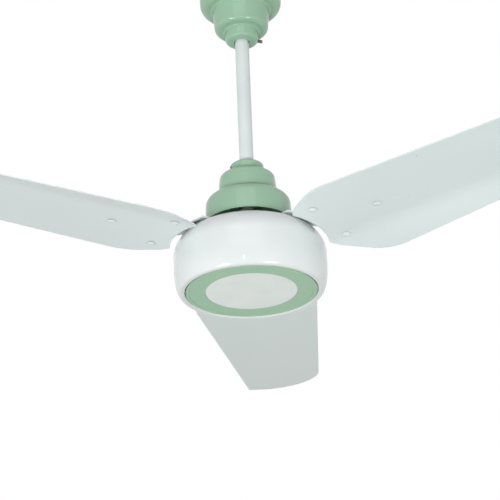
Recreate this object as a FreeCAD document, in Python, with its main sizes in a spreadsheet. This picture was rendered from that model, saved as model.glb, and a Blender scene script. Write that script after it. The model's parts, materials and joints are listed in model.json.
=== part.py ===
import FreeCAD, Part
import math
import os
import re
import Sketcher

# Ceiling fan with three blades, hung from a ceiling hook by a rubber reel.
# Millimetres and degrees. The origin is the underside of the reel's groove, where the hook
# carries the fan, +Z is up, the bolts of the hanging kit lie along X and blade 1 points along +Y.

sizes = {
    # Fits that many pieces share
    "seat_clearance": 0.05,
    "pivot_clearance": 0.1,
    "rest_gap": 0.3,
    # Hanging kit
    "ceiling_height": 34.6,
    "hook_window": 17.0,
    "reel_groove_diameter": 16.0,
    "reel_flange_diameter": 28.0,
    "reel_flange_width": 2.6,
    "reel_groove_slope": 3.0,
    "reel_groove_round": 2.5,
    "reel_end_gap": 0.4,
    "reel_top_gap": 3.0,
    "strap_thickness": 3.0,
    "strap_width": 22.0,
    "strap_bend_radius": 3.5,
    "strap_end": 9.0,
    "strap_end_round": 8.0,
    "rod_side_gap": 0.5,
    "hanger_bolt_diameter": 8.0,
    "coupling_bolt_diameter": 6.0,
    "hex_across_ratio": 1.625,
    "hex_head_ratio": 0.66,
    "hex_nut_ratio": 0.81,
    "bolt_tail": 5.0,
    "split_pin_diameter": 1.8,
    "split_pin_reach": 4.0,
    "split_pin_eye": 1.8,
    # Downrod and the coupling on the motor shaft
    "rod_diameter": 20.0,
    "rod_wall": 1.6,
    "rod_length": 310.0,
    "rod_bolt_edge": 10.0,
    "coupling_diameter": 30.0,
    "rod_socket": 34.0,
    "coupling_floor": 3.0,
    "shaft_socket": 24.0,
    "coupling_gap": 12.0,
    # Canopies: one stepped pressing, used both ways up
    "rim_radius": 60.8,
    "wide_tier_radius": 59.0,
    "wide_tier_height": 40.0,
    "wide_tier_round": 12.2,
    "mid_tier_base": 42.0,
    "mid_tier_radius": 38.6,
    "mid_tier_height": 35.2,
    "mid_tier_round": 7.2,
    "collar_base": 24.4,
    "collar_radius": 23.6,
    "collar_height": 17.8,
    "collar_round": 5.0,
    "canopy_wall": 1.2,
    "canopy_rod_gap": 1.1,
    "canopy_lift": 15.0,
    "canopy_screw_diameter": 5.0,
    "canopy_screw_drop": 7.0,
    "ceiling_screw_yaw": -25.0,
    "ceiling_screw_reach": 8.4,
    "motor_screw_yaw": 205.0,
    "motor_screw_reach": 1.0,
    # Motor housing, shield and trim
    "housing_radius": 105.7,
    "housing_height": 87.2,
    "housing_wall": 3.0,
    "housing_lip_width": 14.4,
    "housing_lower_round": 14.2,
    "housing_upper_round": 32.0,
    "shaft_hole_gap": 1.5,
    "hub_wall": 4.0,
    "bearing_lip": 6.0,
    "skirt_wall": 3.0,
    "skirt_end": 23.2,
    "post_radius": 84.6,
    "post_diameter": 8.0,
    "post_height": 36.0,
    "post_count": 4,
    "first_post_yaw": 45.0,
    "shield_radius": 90.0,
    "shield_plate": 3.0,
    "shield_dish": 5.0,
    "shield_dish_radius": 71.0,
    "shield_dish_slope": 4.0,
    "shield_hub_depth": 16.0,
    "shield_hub_floor": 2.5,
    "shield_hub_step": 4.0,
    "shield_step_radius": 15.0,
    "shield_screw_diameter": 4.0,
    "shield_screw_length": 15.0,
    "trim_depth": 1.2,
    "trim_gap": 1.0,
    "trim_plate": 3.0,
    "trim_rim_width": 4.6,
    "trim_rim_step": 0.7,
    "trim_ledge_width": 4.0,
    "trim_ledge_plate": 1.6,
    "trim_skirt_wall": 2.0,
    "trim_skirt_height": 6.0,
    "trim_lug_reach": 2.2,
    "trim_lug_height": 3.0,
    "trim_lug_angle": 14.0,
    "trim_lug_count": 3,
    "disc_radius": 63.1,
    "disc_gap": 0.3,
    "disc_plate": 2.0,
    "disc_edge_round": 0.6,
    # Motor
    "bearing_bore": 15.0,
    "bearing_diameter": 35.0,
    "bearing_width": 11.0,
    "race_wall": 3.4,
    "shield_recess": 0.8,
    "shaft_shoulder": 2.0,
    "shaft_bore": 7.0,
    "shaft_bore_depth": 58.0,
    "shaft_stub": 3.0,
    "circlip_width": 2.5,
    "circlip_plate": 1.2,
    "stator_radius": 63.0,
    "stack_height": 20.0,
    "air_gap": 0.4,
    "slot_count": 16,
    "slot_pitch_radius": 50.0,
    "slot_diameter": 11.0,
    "slot_mouth": 3.0,
    "slot_liner": 0.8,
    "winding_width": 16.0,
    "winding_overhang": 10.0,
    "winding_round": 4.0,
    "rotor_radius": 79.0,
    "bar_count": 24,
    "bar_pitch_radius": 67.6,
    "bar_diameter": 5.0,
    "cage_ring_width": 10.0,
    "cage_ring_height": 6.0,
    # Capacitor and terminal block inside the motor canopy
    "capacitor_width": 37.0,
    "capacitor_depth": 15.0,
    "capacitor_height": 26.0,
    "capacitor_drop": 19.0,
    "capacitor_round": 2.0,
    "bracket_plate": 1.2,
    "bracket_height": 12.0,
    "bracket_lip": 5.0,
    "bracket_tab_width": 14.0,
    "bracket_tab_rise": 20.0,
    "bracket_gap": 0.2,
    "small_screw_diameter": 4.0,
    "small_screw_bite": 4.0,
    "block_width": 34.0,
    "block_depth": 12.0,
    "block_height": 16.0,
    "block_pitch": 10.0,
    "block_hole_diameter": 4.0,
    "terminal_screw_diameter": 3.0,
    "terminal_screw_bite": 3.5,
    "screw_head_ratio": 1.9,
    "screw_head_height_ratio": 0.6,
    # Blades
    "blade_count": 3,
    "first_blade_yaw": 90.0,
    "blade_thickness": 1.2,
    "blade_axis_height": 59.6,
    "cone_angle": 4.14,
    "pitch_angle": 3.5,
    "bend_offset": 44.9,
    "bend_angle": 14.3,
    "bend_radius": 107.0,
    "blade_root_gap": 5.3,
    "blade_root_width": 46.0,
    "root_shoulder_gap": 3.8,
    "root_shoulder_width": 57.5,
    "root_shoulder_round": 12.0,
    "trailing_flare_reach": 60.3,
    "trailing_flare_width": 98.9,
    "leading_flare_reach": 46.8,
    "leading_flare_width": 86.2,
    "flare_round": 75.0,
    "blade_tip_radius": 711.0,
    "tip_corner_setback": 19.3,
    "tip_corner_width": 54.8,
    "tip_trailing_width": 37.0,
    "tip_trailing_round": 45.0,
    "tip_leading_width": 67.7,
    "tip_leading_round": 80.0,
    "blank_margin": 70.0,
    "blank_half_width": 115.0,
    "blank_depth": 120.0,
    # Rivets and blade irons
    "rivet_inner_reach": 24.9,
    "rivet_inner_offset": 42.2,
    "rivet_outer_reach": 99.3,
    "rivet_diameter": 5.0,
    "rivet_head_diameter": 12.5,
    "rivet_head_height": 2.6,
    "rivet_head_rim": 0.9,
    "rivet_dome_radius": 3.1,
    "rivet_dome_round": 1.6,
    "rivet_tail_diameter": 9.0,
    "rivet_tail_height": 2.0,
    "rivet_tail_rim": 1.0,
    "rivet_tail_flat": 2.2,
    "drill_spare": 4.0,
    "iron_thickness": 2.5,
    "iron_foot_radius": 48.0,
    "iron_foot_width": 24.0,
    "iron_foot_round": 10.0,
    "iron_neck_inset": 21.7,
    "iron_neck_width": 30.0,
    "iron_pad_gap": 11.3,
    "iron_pad_neck_width": 13.0,
    "iron_rivet_edge": 12.5,
    "iron_pad_round": 11.0,
    "iron_screw_radius": 63.0,
    "iron_screw_offset": 15.0,
    "iron_screw_diameter": 5.0,
    "iron_screw_length": 9.0,
}

doc = FreeCAD.newDocument("CeilingFan")
sheet = doc.addObject("Spreadsheet::Sheet", "dims")
for row, (alias, number) in enumerate(sizes.items(), start=1):
    sheet.set(f"A{row}", str(number))
    sheet.setAlias(f"A{row}", alias)
doc.recompute()

nodes = []


def tied(text):
    # The same text with the name of each size pointed at its cell.
    return re.sub(r"[a-z_]+", lambda word: f"dims.{word[0]}" if word[0] in sizes else word[0], text)


def value(text):
    return float(sheet.evalExpression(tied(text)))


def bind(thing, **texts):
    for field, text in texts.items():
        thing.setExpression(field, tied(text))
    return thing


def at(x="0", y="0", z="0", yaw="0", pitch="0", roll="0"):
    # A place as text: the turn is about Z, then Y, then X of the turned frame.
    return f"placement(vector({x};{y};{z});rotation({yaw};{pitch};{roll}))"


def place(thing, where):
    thing.setExpression("Placement", tied(where))
    return thing


def node(label, thing):
    thing.Label = label
    nodes.append(thing)
    return thing


# Sketches

def anchor(sketch, piece, end, across, up):
    # Ties one point of a sketch to its place, or to an axis where a coordinate is 0.
    for kind, axis, text in (("DistanceX", -2, across), ("DistanceY", -1, up)):
        if text == "0":
            sketch.addConstraint(Sketcher.Constraint("PointOnObject", piece, end, axis))
        else:
            rule = Sketcher.Constraint(kind, -1, 1, piece, end, value(text))
            number = sketch.addConstraint(rule)
            sketch.setExpression(f"Constraints[{number}]", tied(text))


def tie_radius(sketch, piece, text):
    number = sketch.addConstraint(Sketcher.Constraint("Radius", piece, value(text)))
    sketch.setExpression(f"Constraints[{number}]", tied(text))


def round_corner(sketch, corner, before, after, side_before, side_after):
    # An arc tangent to both sides of a corner, whose sharp point stays as a construction point.
    point = FreeCAD.Vector(value(corner[0]), value(corner[1]), 0)
    back = (before - point).normalize()
    ahead = (after - point).normalize()
    half = back.getAngle(ahead) / 2
    radius = value(corner[2])
    centre = point + (back + ahead).normalize() * (radius / math.sin(half))
    run = radius / math.tan(half)
    arrive = point + back * run - centre
    leave = point + ahead * run - centre
    left_turn = back.cross(ahead).z < 0
    first, last = (arrive, leave) if left_turn else (leave, arrive)
    circle = Part.Circle(centre, FreeCAD.Vector(0, 0, 1), radius)
    turn = math.atan2(first.y, first.x)
    sweep = (math.atan2(last.y, last.x) - turn) % (2 * math.pi)
    arc = sketch.addGeometry(Part.ArcOfCircle(circle, turn, turn + sweep))
    mark = sketch.addGeometry(Part.Point(point), True)
    anchor(sketch, mark, 1, corner[0], corner[1])
    sketch.addConstraint([
        Sketcher.Constraint("PointOnObject", mark, 1, side_before),
        Sketcher.Constraint("PointOnObject", mark, 1, side_after),
        Sketcher.Constraint("Tangent", side_before, 2, arc, 1 if left_turn else 2),
        Sketcher.Constraint("Tangent", arc, 2 if left_turn else 1, side_after, 1),
    ])
    tie_radius(sketch, arc, corner[2])


def outline(sketch, corners):
    # A closed outline of straight sides through corners (x, y), rounded where one has a radius.
    points = [FreeCAD.Vector(value(corner[0]), value(corner[1]), 0) for corner in corners]
    count = len(corners)
    leaves = []
    arrives = []
    for index, corner in enumerate(corners):
        point = points[index]
        back = (points[index - 1] - point).normalize()
        ahead = (points[(index + 1) % count] - point).normalize()
        run = value(corner[2]) / math.tan(back.getAngle(ahead) / 2) if len(corner) > 2 else 0
        arrives.append(point + back * run)
        leaves.append(point + ahead * run)
    sides = [
        sketch.addGeometry(Part.LineSegment(leaves[index], arrives[(index + 1) % count]))
        for index in range(count)
    ]
    for index, corner in enumerate(corners):
        if len(corner) > 2:
            after = points[(index + 1) % count]
            round_corner(sketch, corner, points[index - 1], after, sides[index - 1], sides[index])
        else:
            meet = Sketcher.Constraint("Coincident", sides[index - 1], 2, sides[index], 1)
            sketch.addConstraint(meet)
            anchor(sketch, sides[index], 1, corner[0], corner[1])


def ring(sketch, across, up, radius):
    centre = FreeCAD.Vector(value(across), value(up), 0)
    circle = Part.Circle(centre, FreeCAD.Vector(0, 0, 1), value(radius))
    piece = sketch.addGeometry(circle)
    if across == "0" and up == "0":
        sketch.addConstraint(Sketcher.Constraint("Coincident", piece, 3, -1, 1))
    else:
        anchor(sketch, piece, 3, across, up)
    tie_radius(sketch, piece, radius)


def body_sketch(body, plane):
    sketch = body.newObject("Sketcher::SketchObject", f"{body.Name}_sketch")
    support = [item for item in body.Origin.OriginFeatures if item.Role == plane][0]
    sketch.AttachmentSupport = (support, [""])
    sketch.MapMode = "FlatFace"
    return sketch


# Pieces made from sketches

def turn_in(body, corners, angle=None):
    sketch = body_sketch(body, "XZ_Plane")
    outline(sketch, corners)
    turn = body.newObject("PartDesign::Revolution", f"{body.Name}_turn")
    turn.Profile = sketch
    turn.ReferenceAxis = (sketch, ["V_Axis"])
    if angle:
        turn.Midplane = True
        bind(turn, Angle=angle)
    else:
        turn.Angle = 360
    return turn


def turned(name, corners, where):
    # A body of revolution about Z from corners (radius, height).
    body = doc.addObject("PartDesign::Body", name)
    turn_in(body, corners)
    return place(body, where)


def pad_in(body, plane, draw, length, both_ways=False):
    sketch = body_sketch(body, plane)
    draw(sketch)
    pad = body.newObject("PartDesign::Pad", f"{body.Name}_pad")
    pad.Profile = sketch
    bind(pad, Length=length)
    pad.Midplane = both_ways
    return pad


def padded(name, plane, draw, length, where, both_ways=False):
    body = doc.addObject("PartDesign::Body", name)
    pad_in(body, plane, draw, length, both_ways)
    return place(body, where)


def cut_in(body, draw):
    # A pocket through everything above the body's base plane.
    sketch = body_sketch(body, "XY_Plane")
    draw(sketch)
    pocket = body.newObject("PartDesign::Pocket", f"{body.Name}_pocket")
    pocket.Profile = sketch
    pocket.Type = "ThroughAll"
    pocket.Reversed = True
    return pocket


def repeat_in(body, features, count, axis="N_Axis"):
    # Copies round Z, which is a flat sketch's normal and a revolved sketch's upright axis.
    pattern = body.newObject("PartDesign::PolarPattern", f"{body.Name}_pattern")
    pattern.Originals = features
    pattern.Axis = (features[0].Profile[0], [axis])
    pattern.Angle = 360
    bind(pattern, Occurrences=count)
    body.Tip = pattern


# Primitives and booleans

def cylinder(name, diameter, length, where):
    thing = doc.addObject("Part::Cylinder", name)
    bind(thing, Radius=f"({diameter}) / 2", Height=length)
    return place(thing, where)


def hexagon(name, across, height, where):
    thing = doc.addObject("Part::Prism", name)
    thing.Polygon = 6
    bind(thing, Circumradius=f"({across}) / sqrt(3)", Height=height)
    return place(thing, where)


def box(name, length, width, height, where):
    thing = doc.addObject("Part::Box", name)
    bind(thing, Length=length, Width=width, Height=height)
    return place(thing, where)


def group(name, things):
    thing = doc.addObject("Part::Compound", name)
    thing.Links = things
    return thing


def fuse(name, things):
    thing = doc.addObject("Part::MultiFuse", name)
    thing.Shapes = things
    return thing


def cut(name, base, tools):
    thing = doc.addObject("Part::Cut", name)
    thing.Base = base
    thing.Tool = tools[0] if len(tools) == 1 else group(f"{name}_tools", tools)
    return thing


def common(name, base, tool):
    thing = doc.addObject("Part::Common", name)
    thing.Base = base
    thing.Tool = tool
    return thing


def screw(name, diameter, length, where):
    # A pan head screw: the seat of its head is at the frame's origin and its shank points down.
    head = cylinder(f"{name}_head", f"{diameter} * screw_head_ratio",
                    f"{diameter} * screw_head_height_ratio", where)
    shank = cylinder(f"{name}_shank", diameter, length, f"{where} * {at(z=f'-({length})')}")
    return fuse(name, [head, shank])


# Heights along the fan's axis, from the hook's seat downwards
reel_axis = "(reel_groove_diameter / 2)"
strap_inside = f"({reel_axis} + reel_flange_diameter / 2 + reel_top_gap)"
rod_top = "(-hook_window)"
rod_bolt_axis = f"({rod_top} - rod_bolt_edge)"
rod_end = f"({rod_top} - rod_length)"
coupling_top = f"({rod_end} + rod_socket)"
coupling_bolt_axis = f"({rod_end} + rod_socket / 2)"
shaft_top = f"({rod_end} - coupling_floor)"
coupling_base = f"({shaft_top} - shaft_socket)"
housing_top = f"({coupling_base} - coupling_gap)"
housing_base = f"({housing_top} - housing_height)"
shield_seat = f"({housing_base} + skirt_end)"
shield_base = f"({shield_seat} - shield_hub_depth)"
trim_face = f"({housing_base} + trim_depth)"
upper_bearing_top = f"({housing_top} - bearing_lip)"
lower_bearing_base = f"({shield_base} + shield_hub_floor + shield_hub_step)"
stack_base = f"(({upper_bearing_top} + {lower_bearing_base}) / 2 - stack_height / 2)"
canopy_rim = f"({housing_top} + canopy_lift)"
blade_centre = f"({housing_base} + blade_axis_height)"
# Radii that follow the drum's wall
housing_mouth = "(housing_radius - housing_lip_width)"
blade_root = "(housing_radius + blade_root_gap)"
rivet_inner = "(housing_radius + rivet_inner_reach)"
rivet_outer = "(housing_radius + rivet_outer_reach)"
iron_neck = "(housing_radius - iron_neck_inset)"
iron_pad = "(housing_radius + iron_pad_gap)"
strap_half = "(rod_diameter / 2 + rod_side_gap)"
strap_outside = f"({strap_half} + strap_thickness)"


# Hanging kit

def bolt_set(prefix, diameter, half_grip, height):
    # A bolt along X with its head towards +X, and a nut held by a split pin.
    across = f"{diameter} * hex_across_ratio"
    nut_height = f"{diameter} * hex_nut_ratio"
    reach = f"({half_grip} + {nut_height} + bolt_tail)"
    pin_place = f"-({half_grip} + {nut_height} + bolt_tail / 2)"
    pin_half = f"({diameter} / 2 + split_pin_reach)"
    head = hexagon(f"{prefix}_bolt_head", across, f"{diameter} * hex_head_ratio",
                   at(half_grip, "0", height, pitch="90"))
    shank = cylinder(f"{prefix}_bolt_shank", diameter, f"{reach} + {half_grip}",
                     at(f"-{reach}", "0", height, pitch="90"))
    eyelet = cylinder(f"{prefix}_bolt_eyelet", "split_pin_diameter + 2 * seat_clearance",
                      diameter, at(pin_place, "0", f"{height} - {diameter} / 2"))
    solid = fuse(f"{prefix}_bolt_solid", [head, shank])
    node(f"{prefix}_bolt", cut(f"{prefix}_bolt", solid, [eyelet]))
    blank = hexagon(f"{prefix}_nut_blank", across, nut_height,
                    at(f"-({half_grip} + {nut_height})", "0", height, pitch="90"))
    bore = cylinder(f"{prefix}_nut_bore", f"{diameter} + 2 * seat_clearance", nut_height,
                    at(f"-({half_grip} + {nut_height})", "0", height, pitch="90"))
    node(f"{prefix}_nut", cut(f"{prefix}_nut", blank, [bore]))
    legs = cylinder(f"{prefix}_pin_legs", "split_pin_diameter", f"2 * {pin_half}",
                    at(pin_place, "0", f"{height} - {pin_half}"))
    eye = doc.addObject("Part::Torus", f"{prefix}_pin_eye")
    bind(eye, Radius1="split_pin_eye", Radius2="split_pin_diameter / 2")
    place(eye, at(pin_place, "0", f"{height} + {pin_half} + split_pin_eye", roll="90"))
    node(f"{prefix}_split_pin", fuse(f"{prefix}_split_pin", [legs, eye]))


def hanging_shackle():
    # A strap bent to an upside-down U, with rounded leg ends and a bolt hole at each end.
    top = f"({strap_inside} + strap_thickness)"
    foot = f"({rod_bolt_axis} - strap_end)"
    bend = "strap_bend_radius"
    outer_bend = "strap_bend_radius + strap_thickness"

    def front(sketch):
        outline(sketch, [
            (strap_outside, foot), (strap_outside, top, outer_bend),
            (f"-{strap_outside}", top, outer_bend), (f"-{strap_outside}", foot),
            (f"-{strap_half}", foot), (f"-{strap_half}", strap_inside, bend),
            (strap_half, strap_inside, bend), (strap_half, foot),
        ])

    def side(sketch):
        outline(sketch, [
            ("strap_width / 2", foot, "strap_end_round"), ("strap_width / 2", top),
            ("-strap_width / 2", top), ("-strap_width / 2", foot, "strap_end_round"),
        ])

    bent = padded("shackle_front", "XZ_Plane", front, "strap_width", at(), True)
    flat = padded("shackle_side", "YZ_Plane", side, f"2 * {strap_outside}", at(), True)
    holes = [
        cylinder(f"shackle_{name}_hole", "hanger_bolt_diameter + 2 * seat_clearance",
                 f"2 * {strap_outside}", at(f"-{strap_outside}", "0", height, pitch="90"))
        for name, height in (("reel", reel_axis), ("rod", rod_bolt_axis))
    ]
    strap = common("shackle_strap", bent, flat)
    node("hanging_shackle", cut("hanging_shackle", strap, holes))


def shackle_reel():
    # The rubber reel: two flanges and a groove with sloping sides that the hook sits in.
    half = f"({strap_half} - reel_end_gap)"
    bore = "hanger_bolt_diameter / 2 + pivot_clearance"
    flange = "reel_flange_diameter / 2"
    groove = "reel_groove_diameter / 2"
    lip = f"({half} - reel_flange_width)"
    floor = f"({lip} - reel_groove_slope)"
    node("shackle_reel", turned("shackle_reel", [
        (bore, f"-{half}"), (flange, f"-{half}"), (flange, f"-{lip}"),
        (groove, f"-{floor}", "reel_groove_round"), (groove, floor, "reel_groove_round"),
        (flange, lip), (flange, half), (bore, half),
    ], at(z=reel_axis, pitch="90")))


def downrod():
    inside = "rod_diameter - 2 * rod_wall"
    outer = cylinder("downrod_outer", "rod_diameter", "rod_length", at(z=rod_end))
    bore = cylinder("downrod_bore", inside, "rod_length", at(z=rod_end))
    upper = cylinder("downrod_upper_hole", "hanger_bolt_diameter + 2 * pivot_clearance",
                     "rod_diameter", at("-rod_diameter / 2", "0", rod_bolt_axis, pitch="90"))
    lower = cylinder("downrod_lower_hole", "coupling_bolt_diameter + 2 * seat_clearance",
                     "rod_diameter", at("-rod_diameter / 2", "0", coupling_bolt_axis, pitch="90"))
    node("downrod", cut("downrod", outer, [bore, upper, lower]))


# Canopies

canopy_top = "(wide_tier_height + mid_tier_height + collar_height)"


def canopy(label, where, screw_yaw, screw_reach):
    # Three rounded tiers on one profile, with a thick collar that takes the clamp screw.
    bore = "rod_diameter / 2 + canopy_rod_gap"
    shoulder = "(wide_tier_height + mid_tier_height)"
    shell = turned(f"{label}_shell", [
        ("rim_radius", "0"),
        ("wide_tier_radius", "wide_tier_height", "wide_tier_round"),
        ("mid_tier_base", "wide_tier_height"),
        ("mid_tier_radius", shoulder, "mid_tier_round"),
        ("collar_base", shoulder),
        ("collar_radius", canopy_top, "collar_round"),
        (bore, canopy_top),
        (bore, f"{shoulder} - canopy_wall"),
        ("mid_tier_radius - canopy_wall", f"{shoulder} - canopy_wall",
         "mid_tier_round - canopy_wall"),
        ("mid_tier_base - canopy_wall", "wide_tier_height - canopy_wall"),
        ("wide_tier_radius - canopy_wall", "wide_tier_height - canopy_wall",
         "wide_tier_round - canopy_wall"),
        ("rim_radius - canopy_wall", "0"),
    ], where)
    tip = "(rod_diameter / 2 + rest_gap)"
    height = f"({canopy_top} - canopy_screw_drop)"
    spot = f"{where} * {at(yaw=screw_yaw)} * {at(tip, '0', height, pitch='90')}"
    hole = cylinder(f"{label}_screw_hole", "canopy_screw_diameter + 2 * seat_clearance",
                    f"collar_base - {tip}", spot)
    node(label, cut(label, shell, [hole]))
    length = f"collar_radius + {screw_reach} - {tip}"
    node(f"{label}_screw", cylinder(f"{label}_screw", "canopy_screw_diameter", length, spot))


# Coupling, shaft and stator: what hangs still inside the motor

def shaft_coupling():
    outer = "coupling_diameter / 2"
    rod_bore = "rod_diameter / 2 + seat_clearance"
    shaft_bore = "bearing_bore / 2 + seat_clearance"
    lead_hole = "rod_diameter / 2 - rod_wall - rod_side_gap"
    body = turned("coupling_body", [
        (shaft_bore, "0"), (outer, "0"), (outer, "shaft_socket + coupling_floor + rod_socket"),
        (rod_bore, "shaft_socket + coupling_floor + rod_socket"),
        (rod_bore, "shaft_socket + coupling_floor"),
        (lead_hole, "shaft_socket + coupling_floor"), (lead_hole, "shaft_socket + seat_clearance"),
        (shaft_bore, "shaft_socket + seat_clearance"),
    ], at(z=coupling_base))
    bolt_hole = cylinder("coupling_bolt_hole", "coupling_bolt_diameter + 2 * seat_clearance",
                         "coupling_diameter",
                         at("-coupling_diameter / 2", "0", coupling_bolt_axis, pitch="90"))
    side_holes = [
        cylinder(f"coupling_{name}_hole", "small_screw_diameter + 2 * seat_clearance", outer,
                 at(z=height, yaw=yaw, roll="-90"))
        for name, height, yaw in (("bracket", bracket_screw_axis, "0"), ("block", block_axis, "180"))
    ]
    node("shaft_coupling", cut("shaft_coupling", body, [bolt_hole] + side_holes))


def motor_shaft():
    # A stepped shaft whose upper end is hollow for the leads.
    low = f"({lower_bearing_base} - shaft_stub)"
    radius = "bearing_bore / 2"
    body = turned("motor_shaft", [
        ("0", "0"), (radius, "0"), (radius, "shaft_stub + bearing_width"),
        (f"{radius} + shaft_shoulder", "shaft_stub + bearing_width"),
        (f"{radius} + shaft_shoulder", f"{upper_bearing_top} - bearing_width - {low}"),
        (radius, f"{upper_bearing_top} - bearing_width - {low}"),
        (radius, f"{shaft_top} - {low}"), ("shaft_bore / 2", f"{shaft_top} - {low}"),
        ("shaft_bore / 2", f"{shaft_top} - {low} - shaft_bore_depth"),
        ("0", f"{shaft_top} - {low} - shaft_bore_depth"),
    ], at(z=low))
    node("motor_shaft", body)
    inner = f"{radius} + seat_clearance"
    outer = f"{radius} + circlip_width"
    node("shaft_circlip", turned("shaft_circlip", [
        (inner, "0"), (outer, "0"), (outer, "circlip_plate"), (inner, "circlip_plate"),
    ], at(z=f"{lower_bearing_base} - rest_gap - circlip_plate")))


def bearing(prefix, base):
    # A sealed ball bearing: the outer race carries both seals, which clear the inner race.
    bore = "bearing_bore / 2 + seat_clearance"
    inner = "(bearing_bore / 2 + race_wall)"
    outer = "bearing_diameter / 2 - seat_clearance"
    node(f"{prefix}_inner_race", turned(f"{prefix}_inner_race", [
        (bore, "0"), (inner, "0"), (inner, "bearing_width"), (bore, "bearing_width"),
    ], at(z=base)))
    rim = "(bearing_diameter / 2 - race_wall)"
    seal_low = "shield_recess"
    seal_high = "bearing_width - shield_recess"
    node(f"{prefix}_outer_race", turned(f"{prefix}_outer_race", [
        (rim, "0"), (outer, "0"), (outer, "bearing_width"), (rim, "bearing_width"),
        (rim, seal_high), (f"{inner} + rest_gap", seal_high),
        (f"{inner} + rest_gap", seal_low), (rim, seal_low),
    ], at(z=base)))


def stator():
    core = doc.addObject("PartDesign::Body", "stator_core")

    def plate(sketch):
        ring(sketch, "0", "0", "stator_radius")
        ring(sketch, "0", "0", "bearing_bore / 2 + shaft_shoulder + seat_clearance")

    def slot(sketch):
        ring(sketch, "slot_pitch_radius", "0", "slot_diameter / 2")

    def mouth(sketch):
        outline(sketch, [
            ("slot_pitch_radius", "-slot_mouth / 2"), ("stator_radius + slot_mouth", "-slot_mouth / 2"),
            ("stator_radius + slot_mouth", "slot_mouth / 2"), ("slot_pitch_radius", "slot_mouth / 2"),
        ])

    pad_in(core, "XY_Plane", plate, "stack_height")
    repeat_in(core, [cut_in(core, slot), cut_in(core, mouth)], "slot_count")
    node("stator_core", place(core, at(z=stack_base)))

    winding = doc.addObject("PartDesign::Body", "stator_winding")
    low = "slot_pitch_radius - winding_width / 2"
    high = "slot_pitch_radius + winding_width / 2"
    top = "winding_overhang + 2 * rest_gap + stack_height"

    def end_turns(base):
        return [
            (low, base, "winding_round"), (high, base, "winding_round"),
            (high, f"{base} + winding_overhang", "winding_round"),
            (low, f"{base} + winding_overhang", "winding_round"),
        ]

    def coil_side(sketch):
        ring(sketch, "slot_pitch_radius", "0", "slot_diameter / 2 - slot_liner")

    turn_in(winding, end_turns("0"))
    side = pad_in(winding, "XY_Plane", coil_side, f"{top} + winding_overhang / 2")
    repeat_in(winding, [side], "slot_count")
    turn_in(winding, end_turns(top))
    node("stator_winding", place(winding, at(z=f"{stack_base} - winding_overhang - rest_gap")))


# Capacitor and terminal block, carried by the coupling inside the motor canopy

capacitor_axis = f"({coupling_base} + capacitor_drop)"
bracket_screw_axis = f"({capacitor_axis} + bracket_tab_rise)"
block_axis = f"({coupling_base} + shaft_socket + block_height / 2)"
bracket_back = "(coupling_diameter / 2 + bracket_gap)"


def capacitor():
    inner_half = "(capacitor_width / 2 + bracket_gap)"
    outer_half = f"({inner_half} + bracket_plate)"
    front = f"({bracket_back} + bracket_plate + 2 * bracket_gap + capacitor_depth)"
    lip_half = f"({inner_half} - bracket_lip)"
    floor = f"({bracket_back} + bracket_plate)"

    def clip(sketch):
        outline(sketch, [
            (f"-{outer_half}", bracket_back), (outer_half, bracket_back),
            (outer_half, f"{front} + bracket_plate"), (lip_half, f"{front} + bracket_plate"),
            (lip_half, front), (inner_half, front), (inner_half, floor),
            (f"-{inner_half}", floor), (f"-{inner_half}", front), (f"-{lip_half}", front),
            (f"-{lip_half}", f"{front} + bracket_plate"),
            (f"-{outer_half}", f"{front} + bracket_plate"),
        ])

    def case(sketch):
        half = "capacitor_width / 2"
        back = f"{floor} + bracket_gap"
        edge = "capacitor_round"
        outline(sketch, [
            (f"-{half}", back, edge), (half, back, edge),
            (half, f"{back} + capacitor_depth", edge), (f"-{half}", f"{back} + capacitor_depth", edge),
        ])

    holder = padded("bracket_clip", "XY_Plane", clip, "bracket_height",
                    at(z=f"{capacitor_axis} - bracket_height / 2"))
    tab = box("bracket_tab", "bracket_tab_width", "bracket_plate",
              "bracket_tab_rise + bracket_tab_width / 2",
              at("-bracket_tab_width / 2", bracket_back, capacitor_axis))
    hole = cylinder("bracket_hole", "small_screw_diameter + 2 * seat_clearance", "bracket_plate",
                    at("0", bracket_back, bracket_screw_axis, roll="-90"))
    plate = fuse("bracket_plate_solid", [holder, tab])
    node("capacitor_bracket", cut("capacitor_bracket", plate, [hole]))
    node("capacitor", padded("capacitor", "XY_Plane", case, "capacitor_height",
                             at(z=f"{capacitor_axis} - capacitor_height / 2")))
    node("capacitor_screw", screw("capacitor_screw", "small_screw_diameter",
                                  "bracket_plate + bracket_gap + small_screw_bite",
                                  at("0", floor, bracket_screw_axis, roll="-90")))


def terminal_block():
    face = f"({bracket_back} + block_depth)"
    low = f"({block_axis} - block_height / 2)"
    solid = box("block_solid", "block_width", "block_depth", "block_height",
                at("-block_width / 2", f"-{face}", low))
    middle = f"-({bracket_back} + block_depth / 2)"
    fixing = cylinder("block_fixing", "small_screw_diameter + 2 * seat_clearance", "block_depth",
                      at("0", f"-{face}", block_axis, roll="-90"))
    wire_holes = []
    screw_holes = []
    screws = []
    for name, offset in (("left", "-block_pitch"), ("right", "block_pitch")):
        wire_holes.append(cylinder(f"block_{name}_wire", "block_hole_diameter", "block_height",
                                   at(offset, middle, low)))
        bore = f"({face} + {middle} + block_hole_diameter / 2)"
        screw_holes.append(cylinder(f"block_{name}_bore",
                                    "terminal_screw_diameter + 2 * seat_clearance", bore,
                                    at(offset, f"-{face}", block_axis, roll="-90")))
        screws.append(screw(f"terminal_{name}_screw", "terminal_screw_diameter",
                            "terminal_screw_bite", at(offset, f"-{face}", block_axis, roll="90")))
    node("terminal_block", cut("terminal_block", solid, [fixing] + wire_holes + screw_holes))
    node("terminal_screws", group("terminal_screws", screws))
    node("block_screw", screw("block_screw", "small_screw_diameter",
                              "block_depth + bracket_gap + small_screw_bite",
                              at("0", f"-{face}", block_axis, roll="90")))


# Rotor: the housing and what turns with it

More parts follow.
